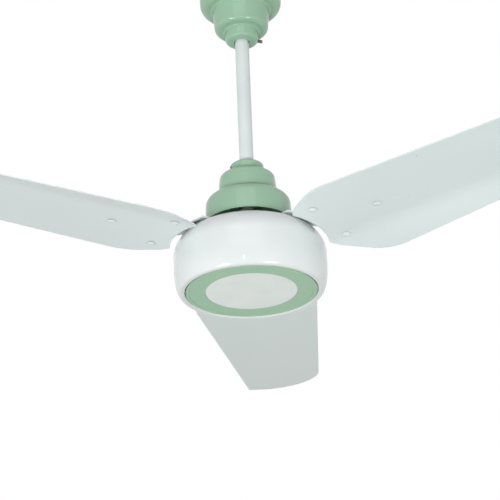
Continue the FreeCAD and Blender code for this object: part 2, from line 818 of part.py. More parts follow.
iron_yaws = [
    f"(first_blade_yaw + {index} * 360 / blade_count)"
    for index in range(int(sizes["blade_count"]))
]
post_yaws = [
    f"(first_post_yaw + {index} * 360 / post_count)"
    for index in range(int(sizes["post_count"]))
]
post_spots = [at(yaw=yaw) + " * " + at("post_radius", "0", shield_seat) for yaw in post_yaws]
iron_screw_spots = [
    at(yaw=yaw) + " * " + at("iron_screw_radius", f"{side}iron_screw_offset",
                             f"{housing_top} + iron_thickness")
    for yaw in iron_yaws for side in ("", "-")
]


def motor_housing():
    # One deep drum: rounded lower lip, straight wall, wide upper shoulder, bearing hub and skirt.
    hole = "bearing_bore / 2 + shaft_hole_gap"
    seat = "bearing_diameter / 2"
    hub = f"{seat} + hub_wall"
    ceiling = "housing_height - housing_wall"
    inside = "housing_radius - housing_wall"
    shell = doc.addObject("PartDesign::Body", "housing_shell")
    turn_in(shell, [
        (housing_mouth, "0"),
        ("housing_radius", "0", "housing_lower_round"),
        ("housing_radius", "housing_height", "housing_upper_round"),
        (hole, "housing_height"),
        (hole, "housing_height - bearing_lip"),
        (seat, "housing_height - bearing_lip"),
        (seat, "housing_height - bearing_lip - bearing_width"),
        (hub, "housing_height - bearing_lip - bearing_width"),
        (hub, ceiling),
        (inside, ceiling, "housing_upper_round - housing_wall"),
        (inside, "housing_wall", "housing_lower_round - housing_wall"),
        (housing_mouth, "housing_wall"),
    ])
    skirt = "rotor_radius + seat_clearance"
    turn_in(shell, [
        (skirt, "skirt_end"), (f"{skirt} + skirt_wall", "skirt_end"),
        (f"{skirt} + skirt_wall", "housing_height - housing_wall / 2"),
        (skirt, "housing_height - housing_wall / 2"),
    ])
    place(shell, at(z=housing_base))
    posts = [
        cylinder(f"housing_post_{index}", "post_diameter", "post_height", spot)
        for index, spot in enumerate(post_spots, start=1)
    ]
    pilots = [
        cylinder(f"housing_pilot_{index}", "shield_screw_diameter + 2 * seat_clearance",
                 "shield_screw_length", spot)
        for index, spot in enumerate(post_spots, start=1)
    ]
    screw_holes = [
        cylinder(f"housing_iron_hole_{index}", "iron_screw_diameter + 2 * seat_clearance",
                 "iron_screw_length", f"{spot} * {at(z='-iron_screw_length')}")
        for index, spot in enumerate(iron_screw_spots, start=1)
    ]
    solid = fuse("housing_solid", [shell] + posts)
    node("motor_housing", cut("motor_housing", solid, pilots + screw_holes))


def bottom_shield():
    # A dished plate with the lower bearing's cup in its middle.
    hub = "bearing_diameter / 2 + hub_wall"
    step = "shield_hub_floor + shield_hub_step"
    rim_low = "shield_hub_depth - shield_plate"
    dish_top = "shield_hub_depth - shield_dish"
    dish_low = "shield_hub_depth - shield_dish - shield_plate"
    slope_end = "shield_dish_radius + shield_dish_slope"
    plate = turned("shield_plate_solid", [
        ("0", "0"), (hub, "0"), (hub, dish_low),
        ("shield_dish_radius", dish_low), (slope_end, rim_low), ("shield_radius", rim_low),
        ("shield_radius", "shield_hub_depth"), (slope_end, "shield_hub_depth"),
        ("shield_dish_radius", dish_top), (hub, dish_top), (hub, f"{step} + bearing_width"),
        ("bearing_diameter / 2", f"{step} + bearing_width"), ("bearing_diameter / 2", step),
        ("shield_step_radius", step), ("shield_step_radius", "shield_hub_floor"),
        ("0", "shield_hub_floor"),
    ], at(z=shield_base))
    holes = [
        cylinder(f"shield_hole_{index}", "shield_screw_diameter + 2 * seat_clearance",
                 "shield_plate", f"{spot} * {at(z='-shield_plate')}")
        for index, spot in enumerate(post_spots, start=1)
    ]
    node("bottom_shield", cut("bottom_shield", plate, holes))
    node("shield_screws", group("shield_screws", [
        screw(f"shield_screw_{index}", "shield_screw_diameter", "shield_screw_length",
              f"{spot} * {at(z='-shield_plate', roll='180')}")
        for index, spot in enumerate(post_spots, start=1)
    ]))


def rotor():
    core = doc.addObject("PartDesign::Body", "rotor_core")

    def plate(sketch):
        ring(sketch, "0", "0", "rotor_radius")
        ring(sketch, "0", "0", "stator_radius + air_gap")

    def bar_hole(sketch):
        ring(sketch, "bar_pitch_radius", "0", "bar_diameter / 2 + seat_clearance")

    def bar(sketch):
        ring(sketch, "bar_pitch_radius", "0", "bar_diameter / 2")

    pad_in(core, "XY_Plane", plate, "stack_height")
    repeat_in(core, [cut_in(core, bar_hole)], "bar_count")
    node("rotor_core", place(core, at(z=stack_base)))

    cage = doc.addObject("PartDesign::Body", "rotor_cage")
    low = "bar_pitch_radius - bar_diameter / 2 - air_gap"
    top = "cage_ring_height + stack_height"

    def end_ring(base):
        return [
            (low, base), (f"{low} + cage_ring_width", base),
            (f"{low} + cage_ring_width", f"{base} + cage_ring_height"),
            (low, f"{base} + cage_ring_height"),
        ]

    turn_in(cage, end_ring("0"))
    side = pad_in(cage, "XY_Plane", bar, f"{top} + cage_ring_height / 2")
    repeat_in(cage, [side], "bar_count")
    turn_in(cage, end_ring(top))
    node("rotor_cage", place(cage, at(z=f"{stack_base} - cage_ring_height")))


def trim():
    # The trim ring: a stepped face, a ledge that carries the disc and lugs behind the drum's lip.
    outer = f"({housing_mouth} - trim_gap)"
    inner = "(disc_radius + disc_gap)"
    ledge = f"({inner} - trim_ledge_width)"
    skirt_top = "trim_plate + trim_skirt_height"
    body = doc.addObject("PartDesign::Body", "trim_ring")
    turn_in(body, [
        (inner, "trim_rim_step"), (f"{outer} - trim_rim_width", "trim_rim_step"),
        (f"{outer} - trim_rim_width", "0"), (outer, "0"), (outer, skirt_top),
        (f"{outer} - trim_skirt_wall", skirt_top), (f"{outer} - trim_skirt_wall", "trim_plate"),
        (f"{inner} + trim_ledge_width", "trim_plate"),
        (f"{inner} + trim_ledge_width", "trim_rim_step + disc_plate + trim_ledge_plate"),
        (ledge, "trim_rim_step + disc_plate + trim_ledge_plate"),
        (ledge, "trim_rim_step + disc_plate"), (inner, "trim_rim_step + disc_plate"),
    ])
    lug_low = "housing_wall - trim_depth + 2 * rest_gap"
    lug = turn_in(body, [
        (f"{outer} - trim_skirt_wall", lug_low),
        (f"{outer} + trim_gap + trim_lug_reach", lug_low),
        (f"{outer}", f"{lug_low} + trim_lug_height"),
        (f"{outer} - trim_skirt_wall", f"{lug_low} + trim_lug_height"),
    ], "trim_lug_angle")
    repeat_in(body, [lug], "trim_lug_count", "V_Axis")
    node("trim_ring", place(body, at(z=trim_face)))
    node("centre_disc", turned("centre_disc", [
        ("0", "0"), ("disc_radius", "0", "disc_edge_round"), ("disc_radius", "disc_plate"),
        ("0", "disc_plate"),
    ], at(z=f"{trim_face} + trim_rim_step")))


# Blades: a flat sheet with its trailing side bent down, cut to its outline, pitched and sloped up

def blade_frame(yaw):
    return at("0", "0", blade_centre, yaw, "-cone_angle", "-pitch_angle")


def layer(name, frame, low, thickness, draw):
    # A pressed sheet with a plan outline: a bent section run along the blade, cut by a prism.
    high = f"({low} + {thickness})"

    def corner(level):
        return (f"bend_offset + {level} * tan(bend_angle / 2)", level, f"bend_radius + {level}")

    def end(level):
        return (f"bend_offset + blank_half_width * cos(bend_angle) + {level} * sin(bend_angle)",
                f"{level} * cos(bend_angle) - blank_half_width * sin(bend_angle)")

    def section(sketch):
        outline(sketch, [
            ("-blank_half_width", low), corner(low), end(low),
            end(high), corner(high), ("-blank_half_width", high),
        ])

    bent = padded(f"{name}_bent", "YZ_Plane", section, "blade_tip_radius + blank_margin", frame)
    prism = padded(f"{name}_prism", "XY_Plane", draw, "blank_depth",
                   f"{frame} * {at(z='-blank_depth / 2')}")
    return common(f"{name}_sheet", bent, prism)


def rivet_spots(frame):
    # Each rivet stands square to the sheet, from the blade's lower face upwards. The inner one on
    # the trailing side stands on the bend, whose axis lies below the sheet.
    bend_start = "(bend_offset - bend_radius * tan(bend_angle / 2))"
    lean = f"asin((rivet_inner_offset - {bend_start}) / bend_radius)"
    on_bend = at(rivet_inner, bend_start, "-bend_radius", roll=f"-{lean}")
    return [
        f"{frame} * {at(rivet_inner, '-rivet_inner_offset')}",
        f"{frame} * {on_bend} * {at(z='bend_radius')}",
        f"{frame} * {at(rivet_outer)}",
    ]


def blade(index, yaw):
    frame = blade_frame(yaw)
    stretch = "cos(cone_angle)"
    tip = f"(blade_tip_radius / {stretch})"
    root = f"sqrt({blade_root} * {blade_root} - blade_root_width * blade_root_width)"
    shoulder = "housing_radius + root_shoulder_gap"

    def plan(sketch):
        outline(sketch, [
            (root, "-blade_root_width"),
            (shoulder, "-root_shoulder_width", "root_shoulder_round"),
            ("housing_radius + leading_flare_reach", "-leading_flare_width", "flare_round"),
            (tip, "-tip_leading_width", "tip_leading_round"),
            (tip, "tip_trailing_width", "tip_trailing_round"),
            (f"{tip} - tip_corner_setback", "tip_corner_width"),
            ("housing_radius + trailing_flare_reach", "trailing_flare_width", "flare_round"),
            (shoulder, "root_shoulder_width", "root_shoulder_round"),
            (root, "blade_root_width"),
        ])

    sheet_metal = layer(f"blade_{index}", frame, "0", "blade_thickness", plan)
    tools = [cylinder(f"blade_{index}_root_cut", f"2 * {blade_root}", "blank_depth",
                      f"{frame} * {at(z='-blank_depth / 2')}")]
    rivets = []
    hole = "rivet_diameter + 2 * seat_clearance"
    stack = "(blade_thickness + rest_gap + iron_thickness)"
    iron_tools = []
    for number, spot in enumerate(rivet_spots(frame), start=1):
        name = f"rivet_{index}_{number}"
        drill = f"{spot} * {at(z='-drill_spare')}"
        length = f"{stack} + 2 * drill_spare"
        tools.append(cylinder(f"{name}_hole", hole, length, drill))
        iron_tools.append(cylinder(f"{name}_iron_hole", hole, length, drill))
        rivets.append(rivet(name, spot, stack))
    node(f"blade_{index}", cut(f"blade_{index}", sheet_metal, tools))
    node(f"blade_rivets_{index}", group(f"blade_rivets_{index}", rivets))
    blade_iron(index, yaw, frame, iron_tools)


def rivet(name, spot, stack):
    # A shallow domed head under the blade, a shank and the upset end on the iron.
    # The head's flat stands clear of the bend in the sheet.
    low = "-rest_gap"
    high = f"({stack} + seat_clearance)"
    head = "rivet_head_diameter / 2"
    tail = "rivet_tail_diameter / 2"
    return turned(name, [
        ("0", "-rivet_head_height"),
        ("rivet_dome_radius", "-rivet_head_height", "rivet_dome_round"),
        (head, "-rivet_head_rim"), (head, low),
        ("rivet_diameter / 2", low), ("rivet_diameter / 2", high), (tail, high),
        (tail, f"{high} + rivet_tail_rim"),
        ("rivet_tail_flat", f"{high} + rivet_tail_height"),
        ("0", f"{high} + rivet_tail_height"),
    ], spot)


def blade_iron(index, yaw, frame, rivet_holes):
    # A steel plate: a foot on the drum's top, a twisted neck and a pad on the blade's back.
    name = f"blade_iron_{index}"
    turn = at(yaw=yaw)
    across = at(yaw="90", roll="90")

    def foot(sketch):
        outline(sketch, [
            ("iron_foot_radius", "-iron_foot_width", "iron_foot_round"),
            (iron_neck, "-iron_neck_width"), (iron_neck, "iron_neck_width"),
            ("iron_foot_radius", "iron_foot_width", "iron_foot_round"),
        ])

    def pad(sketch):
        side = "(rivet_inner_offset + iron_rivet_edge)"
        waist = f"({rivet_inner} + iron_rivet_edge)"
        end = f"({rivet_outer} + iron_rivet_edge)"
        corner = "iron_pad_round"
        outline(sketch, [
            (iron_pad, f"-{side}", corner), (waist, f"-{side}", corner),
            (end, "-iron_rivet_edge", corner), (end, "iron_rivet_edge", corner),
            (waist, side, corner), (iron_pad, side, corner),
        ])

    plate = padded(f"{name}_foot", "XY_Plane", foot, "iron_thickness",
                   f"{turn} * {at(z=housing_top)}")
    bottom = "(blade_thickness + rest_gap)"
    leaf = layer(f"{name}_pad", frame, bottom, "iron_thickness", pad)
    ends = []
    for end, half, low, where in (
        ("start", "iron_neck_width", "0", f"{turn} * {at(iron_neck, '0', housing_top)}"),
        ("finish", "iron_pad_neck_width", bottom, f"{frame} * {at(iron_pad)}"),
    ):
        sketch = doc.addObject("Sketcher::SketchObject", f"{name}_neck_{end}")
        high = f"{low} + iron_thickness"
        outline(sketch, [(f"-{half}", low), (half, low), (half, high), (f"-{half}", high)])
        ends.append(place(sketch, f"{where} * {across}"))
    neck = doc.addObject("Part::Loft", f"{name}_neck")
    neck.Sections = ends
    neck.Solid = True
    neck.Ruled = True
    solid = fuse(f"{name}_solid", [plate, neck, leaf])
    screw_holes = [
        cylinder(f"{name}_screw_hole_{number}", "iron_screw_diameter + 2 * seat_clearance",
                 "iron_thickness", f"{spot} * {at(z='-iron_thickness')}")
        for number, spot in enumerate(iron_screw_spots[2 * index - 2:2 * index], start=1)
    ]
    node(name, cut(name, solid, rivet_holes + screw_holes))


hanging_shackle()
shackle_reel()
bolt_set("reel", "hanger_bolt_diameter", strap_outside, reel_axis)
bolt_set("rod", "hanger_bolt_diameter", strap_outside, rod_bolt_axis)
downrod()
canopy("ceiling_canopy", at(z="ceiling_height", roll="180"), "ceiling_screw_yaw", "ceiling_screw_reach")
canopy("motor_canopy", at(z=canopy_rim), "motor_screw_yaw", "motor_screw_reach")
shaft_coupling()
bolt_set("coupling", "coupling_bolt_diameter", "coupling_diameter / 2", coupling_bolt_axis)
motor_shaft()
bearing("upper", f"{upper_bearing_top} - bearing_width")
bearing("lower", lower_bearing_base)
stator()
capacitor()
terminal_block()
motor_housing()
bottom_shield()
rotor()
trim()
for index, yaw in enumerate(iron_yaws, start=1):
    blade(index, yaw)
node("iron_screws", group("iron_screws", [
    screw(f"iron_screw_{index}", "iron_screw_diameter", "iron_screw_length", spot)
    for index, spot in enumerate(iron_screw_spots, start=1)
]))

doc.recompute()
for thing in doc.Objects:
    if "Invalid" in thing.State or "Error" in thing.State:
        raise RuntimeError(f"{thing.Label} failed: {thing.State}")
for thing in nodes:
    if thing.Shape.isNull() or not thing.Shape.isValid():
        raise RuntimeError(f"{thing.Label} has no valid shape")
os.makedirs("parts", exist_ok=True)
for thing in nodes:
    thing.Shape.exportStep(f"parts/{thing.Label}.step")
    print(thing.Label, len(thing.Shape.Solids), round(thing.Shape.Volume, 1))
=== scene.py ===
import json
import math
import bmesh
import bpy
import numpy as np
from mathutils import Matrix, Vector


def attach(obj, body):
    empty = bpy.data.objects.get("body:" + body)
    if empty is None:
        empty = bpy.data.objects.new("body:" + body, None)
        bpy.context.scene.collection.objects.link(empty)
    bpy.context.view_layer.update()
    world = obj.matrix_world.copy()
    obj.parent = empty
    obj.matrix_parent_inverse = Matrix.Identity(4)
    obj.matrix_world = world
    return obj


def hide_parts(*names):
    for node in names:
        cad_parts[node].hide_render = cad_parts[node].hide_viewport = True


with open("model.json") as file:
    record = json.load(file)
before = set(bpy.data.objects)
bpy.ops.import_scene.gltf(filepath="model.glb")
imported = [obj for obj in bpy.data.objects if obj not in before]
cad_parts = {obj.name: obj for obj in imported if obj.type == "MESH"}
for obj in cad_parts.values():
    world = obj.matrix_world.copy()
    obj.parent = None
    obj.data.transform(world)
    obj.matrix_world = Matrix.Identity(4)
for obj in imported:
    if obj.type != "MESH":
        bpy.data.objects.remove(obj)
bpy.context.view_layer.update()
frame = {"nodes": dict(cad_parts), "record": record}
nodes = frame["nodes"]
print("frame loaded:", len(nodes), "nodes")
mm = 0.001
mixFactor, mixLow, mixHigh, mixOut = 0, 6, 7, 2     # a colour Mix node's sockets, by number


def linear(hexColour):
    # sRGB hex to the linear colour that shaders read
    values = np.array([int(hexColour[i:i + 2], 16) for i in (1, 3, 5)]) / 255
    flat = np.where(values <= 0.04045, values / 12.92, ((values + 0.055) / 1.055) ** 2.4)
    return (*flat.tolist(), 1.0)


def addNode(tree, kind, settings=None, links=None):
    # one node with its properties or input values, fed from the given sockets
    node = tree.nodes.new("ShaderNode" + kind)
    for key, value in (settings or {}).items():
        if isinstance(key, str) and hasattr(node, key):
            setattr(node, key, value)
        else:
            node.inputs[key].default_value = value
    for socket, source in (links or {}).items():
        tree.links.new(source, node.inputs[socket])
    return node


# camera: fitted to the outlines in the photograph, which is 500 x 500 pixels
cameraSet = {
    "distance": 2.1841,      # metres from the fan's axis
    "below": 1.3592,         # metres under the hook's seat
    "azimuth": -0.0632,      # radians; the fan's rear blade lies along +Y
    "pitch": 0.418,          # radians above level
    "roll": -0.039,          # radians
    "focalPixels": 1732.3,
    "imagePixels": 500,
    "sensor": 36.0,          # millimetres
    "clipEnd": 100.0,
}


def makeCamera(c):
    # the view's axes from its heading and pitch, then turned by the roll
    heading = -c["azimuth"]
    forward = np.array([-math.sin(heading) * math.cos(c["pitch"]),
                        math.cos(heading) * math.cos(c["pitch"]), math.sin(c["pitch"])])
    right = np.array([math.cos(heading), math.sin(heading), 0.0])
    up = np.cross(right, forward)
    cosRoll, sinRoll = math.cos(c["roll"]), math.sin(c["roll"])
    rightTilted = cosRoll * right + sinRoll * up
    upTilted = cosRoll * up - sinRoll * right
    data = bpy.data.cameras.new("camera")
    data.sensor_width = c["sensor"]
    data.lens = c["focalPixels"] / c["imagePixels"] * c["sensor"]
    data.clip_end = c["clipEnd"]
    camera = bpy.data.objects.new("camera", data)
    bpy.context.scene.collection.objects.link(camera)
    place = [c["distance"] * math.sin(heading), -c["distance"] * math.cos(heading), -c["below"]]
    matrix = np.eye(4)
    matrix[:3] = np.stack([rightTilted, upTilted, -forward, place], axis=1)
    camera.matrix_world = Matrix(matrix.tolist())
    bpy.context.scene.camera = camera


makeCamera(cameraSet)
bpy.context.scene.view_settings.view_transform = "Standard"
print("camera placed")


# light: a white room, small boxes that leave glints, a band in front for the gloss,
# and wide sheets for the matt surfaces
roomSet = {
    "colour": "#FFFFFF",
    "fill": 0.334,           # what the room gives to matt surfaces; it looks plain white
    "floorHeight": -2.7,     # metres
    "floorSize": 9.0,
    "floorColour": "#DDE0D8",
    "floorDark": "#D5D8D0",
    "floorMottleMm": 400.0,
    "floorMottleDetail": 3.0,
    "floorRoughness": 0.9,
    "floorGlow": 0.5,        # added for the camera and the gloss, so that the board looks pale
}
# sheds says which side of a surface's finish a lamp reaches: its matt colour or its gloss
# places and sizes are in metres; a spread in degrees stands for a grid that keeps light off the floor
lampSet = {
    "leftBox": {"place": (-1.44, -1.56, -2.1), "size": (0.75, 0.9), "watts": 28.0, "sheds": "gloss"},
    "rightBox": {"place": (1.2, -1.5, -2.1), "size": (0.65, 0.8), "watts": 18.0, "sheds": "gloss"},
    "frontStrip": {"place": (-0.33, -3.5, -1.0), "size": (0.1, 1.0), "watts": 3.0, "sheds": "gloss"},
    "frontBand": {"place": (-0.1, -3.4, 1.5), "size": (3.2, 1.8), "watts": 16.4, "sheds": "gloss"},
    "wideFront": {"place": (0.0, -3.2, 1.2), "size": (4.0, 1.6), "watts": 11.4, "sheds": "matt"},
    "lowFront": {"place": (0.0, -3.0, -2.3), "size": (2.0, 0.8), "watts": 15.8, "sheds": "matt",
                 "spread": 70},
    "leftSheet": {"place": (-4.0, -0.8, -0.6), "size": (2.0, 2.5), "watts": 36.8, "sheds": "matt"},
    "rightSheet": {"place": (4.0, -0.8, -0.6), "size": (2.0, 2.5), "watts": 20.4, "sheds": "matt"},
    "topSheet": {"place": (0.0, 0.4, 2.2), "size": (3.0, 3.0), "watts": 16.6, "sheds": "matt"},
}
lampAim = (0.0, 0.0, -0.4)
openSpread = 180             # degrees, of a lamp without a grid


def makeWorld(r):
    # plain white to the camera, to gloss and through anything clear; only the fill reaches matt surfaces
    world = bpy.data.worlds.new("whiteRoom")
    bpy.context.scene.world = world
    world.use_nodes = True
    tree = world.node_tree
    room = tree.nodes["Background"]
    room.inputs["Color"].default_value = linear(r["colour"])
    path = addNode(tree, "LightPath")
    mirrored = addNode(tree, "Math", {"operation": "MAXIMUM"},
                       {0: path.outputs["Is Glossy Ray"], 1: path.outputs["Is Transmission Ray"]})
    seen = addNode(tree, "Math", {"operation": "MAXIMUM"},
                   {0: path.outputs["Is Camera Ray"], 1: mirrored.outputs[0]})
    strength = addNode(tree, "MapRange", {"To Min": r["fill"], "To Max": 1.0}, {"Value": seen.outputs[0]})
    tree.links.new(strength.outputs[0], room.inputs["Strength"])


def makeFloor(r):
    # a square of pale painted board that is see-through from underneath
    half = r["floorSize"] / 2
    mesh = bpy.data.meshes.new("floor")
    corners = [(-half, -half), (half, -half), (half, half), (-half, half)]
    mesh.from_pydata([(x, y, r["floorHeight"]) for x, y in corners], [], [(0, 1, 2, 3)])
    floor = bpy.data.objects.new("floor", mesh)
    bpy.context.scene.collection.objects.link(floor)
    material = bpy.data.materials.new("paintedBoard")
    material.use_nodes = True
    tree = material.node_tree
    board = tree.nodes["Principled BSDF"]
    board.inputs["Roughness"].default_value = r["floorRoughness"]
    place = addNode(tree, "TexCoord").outputs["Object"]
    mottle = addNode(tree, "TexNoise", {"Scale": 1000 / r["floorMottleMm"],
                                        "Detail": r["floorMottleDetail"]}, {"Vector": place})
    tone = addNode(tree, "Mix", {"data_type": "RGBA", mixLow: linear(r["floorDark"]),
                                 mixHigh: linear(r["floorColour"])}, {mixFactor: mottle.outputs["Fac"]})
    tree.links.new(tone.outputs[mixOut], board.inputs["Base Color"])
    tree.links.new(tone.outputs[mixOut], board.inputs["Emission Color"])
    path = addNode(tree, "LightPath")
    seen = addNode(tree, "Math", {"operation": "MAXIMUM"},
                   {0: path.outputs["Is Camera Ray"], 1: path.outputs["Is Glossy Ray"]})
    glow = addNode(tree, "Math", {"operation": "MULTIPLY", 1: r["floorGlow"]}, {0: seen.outputs[0]})
    tree.links.new(glow.outputs[0], board.inputs["Emission Strength"])
    back = addNode(tree, "NewGeometry").outputs["Backfacing"]
    clear = addNode(tree, "BsdfTransparent")
    sides = addNode(tree, "MixShader", None, {0: back, 1: board.outputs[0], 2: clear.outputs[0]})
    tree.links.new(sides.outputs[0], tree.nodes["Material Output"].inputs["Surface"])
    mesh.materials.append(material)


def makeLamp(name, lamp):
    # a flat panel turned to the fan, unseen by the camera, that reaches one side of a finish alone
    data = bpy.data.lights.new(name, "AREA")
    data.shape = "RECTANGLE"
    data.size, data.size_y = lamp["size"]
    data.energy = lamp["watts"]
    data.spread = math.radians(lamp.get("spread", openSpread))
    holder = bpy.data.objects.new(name, data)
    bpy.context.scene.collection.objects.link(holder)
    place = Vector(lamp["place"])
    turn = (Vector(lampAim) - place).to_track_quat("-Z", "Y")
    holder.matrix_world = Matrix.Translation(place) @ turn.to_matrix().to_4x4()
    holder.visible_camera = False
    holder.visible_glossy = lamp["sheds"] == "gloss"
    holder.visible_diffuse = lamp["sheds"] == "matt"


makeWorld(roomSet)
makeFloor(roomSet)
for lampName, lamp in lampSet.items():
    makeLamp(lampName, lamp)
print("room and lamps set")


# materials: patterns lie on Object coordinates, sizes in millimetres
# tones are the darker and the lighter colour between which a slow noise drifts
# gloss is the roughness where that noise is low and high, grain is a fine relief
driftSet = {"detail": 3.0, "low": 0.25, "high": 0.75}    # the noise, and its values at the two tones
nibCore = 0.4                # share of a nib's radius that is fully dark
waveSpan = 0.314             # metres that one wave of a Wave texture takes at scale 1
looks = {
    # stoved enamel on pressed steel: wet gloss, faint orange peel, a few dust nibs under the film
    "stovedEnamel": {
        "slot": "white_enamel", "tones": ("#DADFE0", "#DFE3E4"), "driftMm": 70.0,
        "gloss": (0.07, 0.1), "grainMm": 2.6, "grainDepthMm": 0.012, "grainDetail": 1.0,
        "nibs": {"spacingMm": 24.0, "radiusMm": 0.9, "colour": "#8E9496"},
        "values": {"IOR": 1.52},
    },
    # the same enamel rolled on the blades: less gloss, a tone that drifts slowly along the sheet
    "bladeEnamel": {
        "slot": "white_enamel", "tones": ("#DDE7E8", "#E1EBEC"), "driftMm": 210.0,
        "gloss": (0.3, 0.35), "grainMm": 3.0, "grainDepthMm": 0.012, "grainDetail": 1.0,
        "nibs": {"spacingMm": 30.0, "radiusMm": 0.9, "colour": "#7F8684"},
        "values": {"IOR": 1.5},
    },
    # rivets wear the blade's enamel, with a grey line of painted shade under the head's edge, where shade
    # falls between head and sheet
    "rivetEnamel": {
        "slot": "white_enamel", "tones": ("#DAE2E1", "#E2E9E8"), "driftMm": 12.0,
        "gloss": (0.2, 0.3), "grainMm": 1.2, "grainDepthMm": 0.01, "grainDetail": 1.0,
        # edge: the colour of the painted shade line under the head's edge
        "edge": "#A3ABA9", "values": {"IOR": 1.5},
    },
    # polyester powder coat on the rod and the blade irons: satin, fine pimples
    "powderCoat": {
        "slot": "white_paint", "tones": ("#D2DAD9", "#DBE2E1"), "driftMm": 60.0,
        "gloss": (0.34, 0.44), "grainMm": 1.4, "grainDepthMm": 0.02, "grainDetail": 2.0,
        "values": {"IOR": 1.5},
    },
    # sage alkyd paint on the canopies: wet gloss with crisp glints, a tone that pools slightly
    # where passes of the spray overlap
    "sagePaint": {
        "slot": "green_paint", "tones": ("#91B59A", "#95BA9F"), "driftMm": 90.0,
        "gloss": (0.09, 0.13), "grainMm": 2.2, "grainDepthMm": 0.006, "grainDetail": 1.5,
        "values": {"IOR": 1.5},
    },
    # sage ABS ring: moulded, satin, with the fine sparked skin of its mould
    "sageAbs": {
        "slot": "green_plastic", "tones": ("#9CC1A6", "#A5CAAF"), "driftMm": 55.0,
        "gloss": (0.36, 0.5), "grainMm": 0.9, "grainDepthMm": 0.02, "grainDetail": 2.0,
        "values": {"IOR": 1.53},
    },
    # white polystyrene disc: matt, etched skin that spreads every reflection
    "whitePolystyrene": {
        "slot": "white_plastic", "tones": ("#E9EFEE", "#EFF4F3"), "driftMm": 40.0,
        "gloss": (0.55, 0.68), "grainMm": 0.7, "grainDepthMm": 0.025, "grainDetail": 2.0,
        "values": {"IOR": 1.55},
    },
    # zinc plate with clear passivation: bluish grey metal, mottled where the bath pooled
    "zincPlate": {
        "slot": "zinc_steel", "tones": ("#A9B0B6", "#CFD2CE"), "driftMm": 9.0,
        "gloss": (0.26, 0.46), "grainMm": 0.8, "grainDepthMm": 0.012, "grainDetail": 3.0,
        "values": {"Metallic": 1.0},
    },
    # chemically blackened steel screw with brown oil stain
    "blackenedSteel": {
        "slot": "dark_steel", "tones": ("#786E64", "#A89C8F"), "driftMm": 3.0,
        "gloss": (0.28, 0.5), "grainMm": 0.5, "grainDepthMm": 0.01, "grainDetail": 3.0,
        "values": {"Metallic": 1.0},
    },
    # ground and turned bearing steel: bright rings round the axis
    "groundSteel": {
        "slot": "bearing_steel", "tones": ("#B9BDC0", "#DADCDC"), "driftMm": 14.0,
        "gloss": (0.14, 0.26), "grainMm": 0.5, "grainDepthMm": 0.004, "grainDetail": 2.0,
        "rings": {"pitchMm": 1.1, "depthMm": 0.006}, "values": {"Metallic": 1.0},
    },
    # a stack of varnished electrical sheets: level lines; sheets are drawn 1.5 mm thick so they show
    "steelLaminations": {
        "slot": "lamination", "tones": ("#5B5D60", "#83868A"), "driftMm": 18.0,
        "gloss": (0.4, 0.55), "grainMm": 0.6, "grainDepthMm": 0.01, "grainDetail": 2.0,
        "sheets": {"pitchMm": 1.5, "depthMm": 0.12}, "values": {"Metallic": 1.0},
    },
    # enamelled copper wire, baked in varnish: brown-red, wires drawn 1 mm thick so they show
    "enamelledCopper": {
        "slot": "copper", "tones": ("#7A3A1E", "#B4622F"), "driftMm": 6.0,
        "gloss": (0.25, 0.4), "grainMm": 0.8, "grainDepthMm": 0.02, "grainDetail": 1.0,
        "rings": {"pitchMm": 1.0, "depthMm": 0.3}, "values": {"Metallic": 1.0},
    },
    # die-cast aluminium: pale grey, grainy skin
    "castAluminium": {
        "slot": "cast_aluminium", "tones": ("#A7A9AA", "#C6C8C8"), "driftMm": 16.0,
        "gloss": (0.42, 0.6), "grainMm": 0.9, "grainDepthMm": 0.04, "grainDetail": 4.0,
        "values": {"Metallic": 1.0},
    },
    # moulded black rubber: dull, faint bloom
    "mouldedRubber": {
        "slot": "rubber", "tones": ("#26272A", "#3A3B3D"), "driftMm": 7.0,
        "gloss": (0.62, 0.8), "grainMm": 0.5, "grainDepthMm": 0.03, "grainDetail": 3.0,
        "values": {"IOR": 1.52},
    },
    # capacitor case in black polypropylene: satin, slightly waxy
    "blackPolypropylene": {
        "slot": "capacitor_case", "tones": ("#1F2123", "#2C2E30"), "driftMm": 12.0,
        "gloss": (0.35, 0.48), "grainMm": 0.7, "grainDepthMm": 0.015, "grainDetail": 2.0,
        "values": {"IOR": 1.49},
    },
    # terminal block in natural nylon: ivory, with the satin skin of its mould
    "naturalNylon": {
        "slot": "terminal_plastic", "tones": ("#DDD6C2", "#EAE4D3"), "driftMm": 8.0,
        "gloss": (0.38, 0.5), "grainMm": 0.7, "grainDepthMm": 0.015, "grainDetail": 2.0,
        "values": {"IOR": 1.53},
    },
    # brass terminal screws, turned and lightly tarnished
    "turnedBrass": {
        "slot": "terminal_brass", "tones": ("#A8843F", "#D2B064"), "driftMm": 3.0,
        "gloss": (0.22, 0.36), "grainMm": 0.4, "grainDepthMm": 0.008, "grainDetail": 2.0,
        "values": {"Metallic": 1.0},
    },
}


